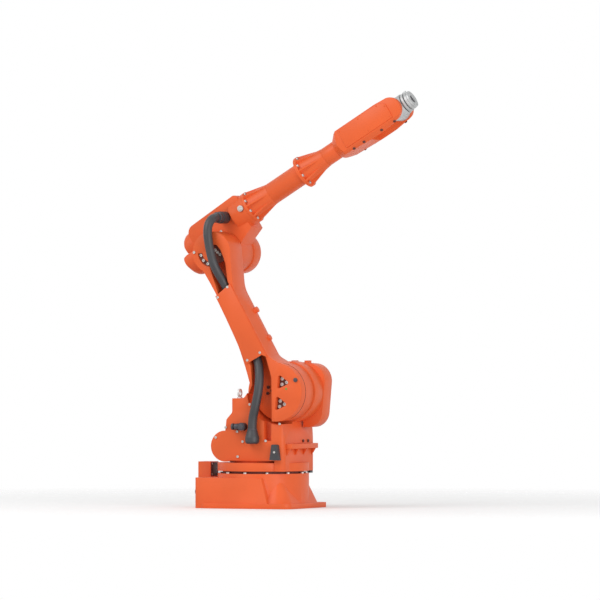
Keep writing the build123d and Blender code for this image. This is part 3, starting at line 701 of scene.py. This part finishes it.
class ARM_OT_base_screws(ArmOperator):
    """Put the screws round the base's rim, the caps on its connector box, and a dark panel on it that paints
    the shade between the box's tower and the turret
    """

    bl_idname = "arm.base_screws"
    bl_label = "Base screws"

    def execute(self, context):
        ring = ring_places(at(0, 0, 194.5), up, front, 241.5, 12)
        add_screws("base_ring_screws", "base", ring, 10.5, 9.5)
        caps = bmesh.new()
        for y in (-37, 37):
            add_drum(caps, at(-392.5, y, 87), rear, 21, 10, 32, 2)
            for place, axis in ring_places(at(-402, y, 87), rear, far_side, 15.0, 6):
                add_drum(caps, place, axis, 2.2, 1.2, 8)
        new_piece("socket_caps", caps, "base", "black_plastic")
        # A dark panel on the tower's front face paints the shade in the gap between the tower and the turret
        shade_panel = bmesh.new()
        size = Matrix.LocRotScale(at(-305.2, 0, 215), None, at(3, 92, 76))
        bmesh.ops.create_cube(shade_panel, size=1.0, matrix=size)
        round_off(shade_panel, shade_panel.edges[:], 1.0 * MM)
        new_piece("tower_shade_panel", shade_panel, "base", "black_plastic")
        panel_corners = [(at(-303.8, y, z), front) for y in (-37, 37) for z in (185, 245)]
        add_screws("tower_panel_screws", "base", panel_corners, 5.0, 3.0)
        return {"FINISHED"}


class ARM_OT_turret_fittings(ArmOperator):
    """Put screws, plugs and caps on the turret"""

    bl_idname = "arm.turret_fittings"
    bl_label = "Turret fittings"

    def execute(self, context):
        side = (
            (-137, 455), (13, 585), (-62, 291), (199, 477), (112, 381), (-31, 376), (-65, 432), (-199, 398),
        )
        places = [(at(x, turret_face, z), near_side) for x, z in side]
        add_screws("turret_side_screws", "turret", places, 7.5, 5.0)
        places = [(at(223.5, y, 378), front) for y in (49, 116)]
        add_screws("turret_front_screws", "turret", places, 8.0, 6.0, "dark_steel")
        add_screws("buffer_screw", "turret", [(at(176, buffer_face, 318), near_side)], 6.5, 3.0)
        cover = ring_places(at(178, 164.5, 655), far_side, front, 124.0, 8, 22.5)
        add_screws("shoulder_cover_screws", "turret", cover, 7.0, 6.0)
        plug = bmesh.new()
        add_drum(plug, at(-76.2, -228, 460), rear, 18.5, 12, 24, 2)
        add_drum(plug, at(-50, -228, 460), rear, 18.5, 6, 24, 1)
        add_drum(plug, at(-24, -245.5, 460), near_side, 16, 6, 24, 2)
        new_piece("motor_plug_rings", plug, "turret", "black_plastic")
        clamp = bmesh.new()
        add_drum(clamp, at(*boot, 440.5), up, 27.5, 10, 40, 1)
        new_piece("boot_clamp", clamp, "turret", "black_plastic")
        return {"FINISHED"}


class ARM_OT_arm_screws(ArmOperator):
    """Fasten the trough's cover and the gears behind the windows of both hubs"""

    bl_idname = "arm.arm_screws"
    bl_label = "Lower arm screws"

    def execute(self, context):
        plate = ((4, 659), (-76, 634), (19, 239), (-70, 236))
        places = [(on_arm(across, along, cover_face), near_side) for across, along in plate]
        add_screws("trough_cover_screws", "lower_arm", places, 7.5, 4.0)
        add_screws("hub_screw", "lower_arm", [(on_arm(-95, 928, hub_face), near_side)], 8.0, 5.0)
        self.fill_windows()
        self.mark_hub()
        return {"FINISHED"}

    def fill_windows(self):
        """Gears' screws on dark floors that paint the shade inside the windows: three screws to a window."""
        windows, hidden_window = (27.0, -93.0), 147.0
        trio = ((-12.0, 83.0), (12.0, 83.0), (0.0, 54.0))

        def gear_screws(window, face):
            return [(on_arm(*round_axis(reach, window + turn), face), near_side) for turn, reach in trio]

        shown = [place for window in windows for place in gear_screws(window, gear_face)]
        add_screws("shoulder_gear_screws", "lower_arm", shown, 10.5, 10.0)
        hidden = gear_screws(hidden_window, trough_gear_face)
        add_screws("trough_gear_screws", "lower_arm", hidden, 8.8, 10.0, "dark_steel")
        # Dark floors in the windows and the elbow's mouth paint the shade inside the openings
        shade_floors = bmesh.new()
        for window in windows:
            add_drum(shade_floors, on_arm(*round_axis(70.0, window), gear_face + 1.5), near_side, 48, 1.3, 32)
        half_turn, inset = 36.0, 1.0
        reaches = (window_radii[0] + inset, window_radii[1] - inset)
        start = window_turn - half_turn
        line = [on_elbow_hub(*round_axis(reach, start), window_floor - 0.3) for reach in reaches]
        spin_profile(shade_floors, line, elbow, 2 * half_turn, 12)
        add_drum(shade_floors, on_elbow_hub(22, -14, mouth_floor + 0.2), near_side, 58, 0.6, 40)
        gear = [
            (on_elbow_hub(*round_axis(69.0, window_turn + turn), window_floor - 0.2), near_side)
            for turn in (-28.0, 0.0, 28.0)
        ]
        gear += [
            (on_elbow_hub(across, along, mouth_floor - 0.2), near_side)
            for across, along in ((18, 6), (25, -12), (33, -30))
        ]
        add_screws("elbow_gear_screws", "lower_arm", gear, 8.8, 10.0)
        new_piece("window_shade_floors", shade_floors, "lower_arm", "dark_steel")

    def mark_hub(self):
        """The shoulder hub's dark seam, which paints the shadow in the gap round the hub, its stop and green
        dot.
        """
        # A dark ring round the hub paints the shadow in the gap between the hub and the housing
        gap_shadow = bmesh.new()
        outline = ((164, -170), (166, -170), (166, -173), (164, -173))
        spin_profile(gap_shadow, [on_arm(0, -reach, y) for reach, y in outline], shoulder, 158.0, 60)
        new_piece("hub_gap_shadow", gap_shadow, "lower_arm", "dark_steel")
        stop = bmesh.new()
        add_drum(stop, on_arm(146, 4, -225), near_side, 12, 9, 28, 2)
        new_piece("hub_stop", stop, "lower_arm", "black_plastic")
        dot = bmesh.new()
        add_drum(dot, on_arm(71, -14, -225.5), near_side, 6, 1.6, 24, 0.5)
        new_piece("hub_dot", dot, "lower_arm", "green_plastic")


class ARM_OT_elbow_screws(ArmOperator):
    """Put the screws on the elbow, its oil plug and its motors"""

    bl_idname = "arm.elbow_screws"
    bl_label = "Elbow screws"

    def execute(self, context):
        side = ((-127, -42), (46, -31), (74, -71))
        places = [(on_forearm(along, rise, elbow_face), near_side) for along, rise in side]
        add_screws("elbow_side_screws", "elbow", places, 7.5, 5.0)
        key = [(on_forearm(230, 8, oil_plug_face), near_side)]
        add_screws("oil_plug_key", "elbow", key, 12.0, 4.5, socket=0.6)
        cap = ring_places(elbow + far_side * 198.5 * MM, far_side, arm_front, 88.0, 6)
        add_screws("elbow_cap_screws", "elbow", cap, 6.5, 6.0)
        motors = []
        for (along, rise, y), spots in (
            (upper_motor, ((-46, 0), (46, 0), (-26, 38), (26, 38))),
            (lower_motor, ((-50, 0), (50, 0), (-28, -42), (28, -42))),
        ):
            motors += [
                (on_forearm(along + 0.5, rise + above, y + beside), -forearm_dir) for beside, above in spots
            ]
        add_screws("rear_motor_screws", "elbow", motors, 6.5, 6.0)
        clamp = bmesh.new()
        for y in (-160, -128):
            add_drum(clamp, on_forearm(*fitting, y), near_side, 30.5, 9, 40, 1)
        new_piece("fitting_clamps", clamp, "elbow", "black_plastic")
        return {"FINISHED"}


class ARM_OT_forearm_screws(ArmOperator):
    """Put the screws between the ribs of both flanges and on the wrist's covers"""

    bl_idname = "arm.forearm_screws"
    bl_label = "Forearm screws"

    def execute(self, context):
        flanges = []
        for along, radius in ((268.0, 82.5), (648.5, 82.0)):
            flanges += ring_places(on_forearm(along, 0.0), forearm_dir, forearm_up, radius, 8, 22.5)
        add_screws("forearm_flange_screws", "forearm", flanges, 9.0, 8.0)
        slopes = []
        covers = []
        underside = (1000, 1071, 1197, 1290)
        rim = ((978, -37), (978, 57), (1112, 57), (1245, 57), (1288, 29), (1288, -37), (1134, -37))
        for side in (-1, 1):
            out = far_side * side
            slope = out - forearm_up
            slopes += [(on_forearm(along, -68.6, fork_face * side), slope) for along in underside]
            covers += [(on_forearm(along, rise, wrist_cover_face * side), out) for along, rise in rim]
        add_screws("fork_screws", "forearm", slopes, 9.0, 3.0, "dark_steel")
        add_screws("wrist_cover_screws", "forearm", covers, 4.5, 1.8, "orange_paint")
        return {"FINISHED"}


class ARM_OT_wrist_rings(ArmOperator):
    """Put the dark seals into the wrist's grooves, and a dark disc into the flange's bore that paints the shade
    at its bottom
    """

    bl_idname = "arm.wrist_rings"
    bl_label = "Wrist rings"

    def execute(self, context):
        # The disc in the tool flange's bore paints the shade at the bore's bottom
        for name, body, height, sides, rings in (
            ("wrist_seals", "wrist", 5.4, 64, ((66.3, 49.5), (86.3, 45.5))),
            ("bore_shade_floor", "tool", 1.2, 48, ((110.6, 24.5),)),
        ):
            shape = bmesh.new()
            for reach, radius in rings:
                add_drum(shape, wrist_point + forearm_dir * reach * MM, forearm_dir, radius, height, sides)
            new_piece(name, shape, body, "black_plastic")
        return {"FINISHED"}


class ARM_OT_stage(ArmOperator):
    """Set the floor, the lamps, the sky and the camera"""

    bl_idname = "arm.stage"
    bl_label = "Stage"

    def execute(self, context):
        stage = context.scene.arm_stage
        self.lay_floor(stage.floor_size / 2)
        self.set_camera(stage)
        for name, place, size, power in (
            ("main_lamp", (-2.6, -4.6, 5.2), 4.0, stage.lamp_power),
            ("fill_lamp", (5.0, -3.2, 1.2), 3.5, stage.fill_power),
        ):
            self.hang_lamp(name, Vector(place), size, power)
        self.light_sky(stage.sky)
        context.scene.view_settings.view_transform = "Standard"
        return {"FINISHED"}

    def lay_floor(self, half_width):
        """A pale floor that fades away and looks nearly white, and keeps the arm's shadow."""
        fade_from = 0.5
        floor = bmesh.new()
        bmesh.ops.create_grid(floor, x_segments=2, y_segments=2, size=half_width)
        mesh = mesh_from("floor", floor)
        ground = add_object("floor", mesh)
        ground.location.z = -1.0 * MM
        pale = Finish("pale_floor", Roughness=0.9, Emission_Strength=0.16)
        pale.colour((0.93, 0.93, 0.93, 1))
        pale.feed(pale.shader.inputs["Emission Color"], pale.ray("Is Camera Ray"))
        reach = pale.node("ShaderNodeVectorMath", {"operation": "LENGTH"}, {0: pale.place}, "Value")
        pale.feed(pale.shader.inputs["Alpha"], reach.clamped(fade_from, half_width, 1.0, 0.0))
        mesh.materials.append(pale.material)

    def set_camera(self, stage):
        """A level camera that looks at the arm from the side at the view's turn."""
        right = Vector((math.cos(stage.view_turn), math.sin(stage.view_turn), 0))
        back = Vector((math.sin(stage.view_turn), -math.cos(stage.view_turn), 0))
        lens = bpy.data.cameras.new("camera")
        lens.angle = 2 * math.atan(stage.view_width / 2 / stage.view_distance)
        lens.clip_end = 200
        camera = add_object("camera", lens)
        camera.location = right * stage.view_side + up * stage.view_height + back * stage.view_distance
        camera.rotation_euler = (-back).to_track_quat("-Z", "Y").to_euler()
        bpy.context.scene.camera = camera

    def hang_lamp(self, name, place, size, power):
        """A soft square lamp that shines at the middle of the arm."""
        lamp_data = bpy.data.lights.new(name, "AREA")
        lamp_data.energy = power
        lamp_data.size = size
        lamp = add_object(name, lamp_data)
        lamp.location = place
        lamp.rotation_euler = (at(100, 0, 1100) - place).to_track_quat("-Z", "Y").to_euler()

    def light_sky(self, strength):
        """Soft grey light from all round, and white where the camera, metal or glass sees the backdrop."""
        world = bpy.data.worlds.new("studio")
        bpy.context.scene.world = world
        world.use_nodes = True
        world.node_tree.nodes.clear()
        sky = Nodes(world.node_tree)
        seen = sky.ray("Is Camera Ray") + sky.ray("Is Glossy Ray") + sky.ray("Is Transmission Ray")
        light = sky.node("ShaderNodeBackground", {}, {"Strength": strength})
        backdrop = sky.node("ShaderNodeBackground", {}, {"Color": (1, 1, 1, 1)})
        both = sky.node("ShaderNodeMixShader", {}, {0: seen.clamped(0.0, 1.0), 1: light, 2: backdrop})
        output = world.node_tree.nodes.new("ShaderNodeOutputWorld")
        sky.feed(output.inputs["Surface"], both)


class ARM_PT_panel(Panel):
    """Steps that dress the robot arm"""

    bl_idname = "ARM_PT_panel"
    bl_label = "Robot arm"
    bl_space_type = "VIEW_3D"
    bl_region_type = "UI"
    bl_category = "Robot arm"

    def draw(self, context):
        for group, kind in ((context.scene.arm_looks, ArmLooks), (context.scene.arm_stage, ArmStage)):
            for name in kind.__annotations__:
                self.layout.prop(group, name)
        for step in steps:
            self.layout.operator(step.bl_idname)


steps = (
    ARM_OT_finishes, ARM_OT_stage, ARM_OT_castings, ARM_OT_hoses, ARM_OT_base_screws, ARM_OT_turret_fittings,
    ARM_OT_arm_screws, ARM_OT_elbow_screws, ARM_OT_forearm_screws, ARM_OT_wrist_rings,
)
classes = (ArmLooks, ArmStage, *steps, ARM_PT_panel)


def register():
    for item in classes:
        bpy.utils.register_class(item)
    bpy.types.Scene.arm_looks = PointerProperty(type=ArmLooks)
    bpy.types.Scene.arm_stage = PointerProperty(type=ArmStage)


def unregister():
    del bpy.types.Scene.arm_stage
    del bpy.types.Scene.arm_looks
    for item in reversed(classes):
        bpy.utils.unregister_class(item)


def main():
    register()
    for step in steps:
        group, action = step.bl_idname.split(".")
        getattr(getattr(bpy.ops, group), action)()


if __name__ == "__main__":
    main()
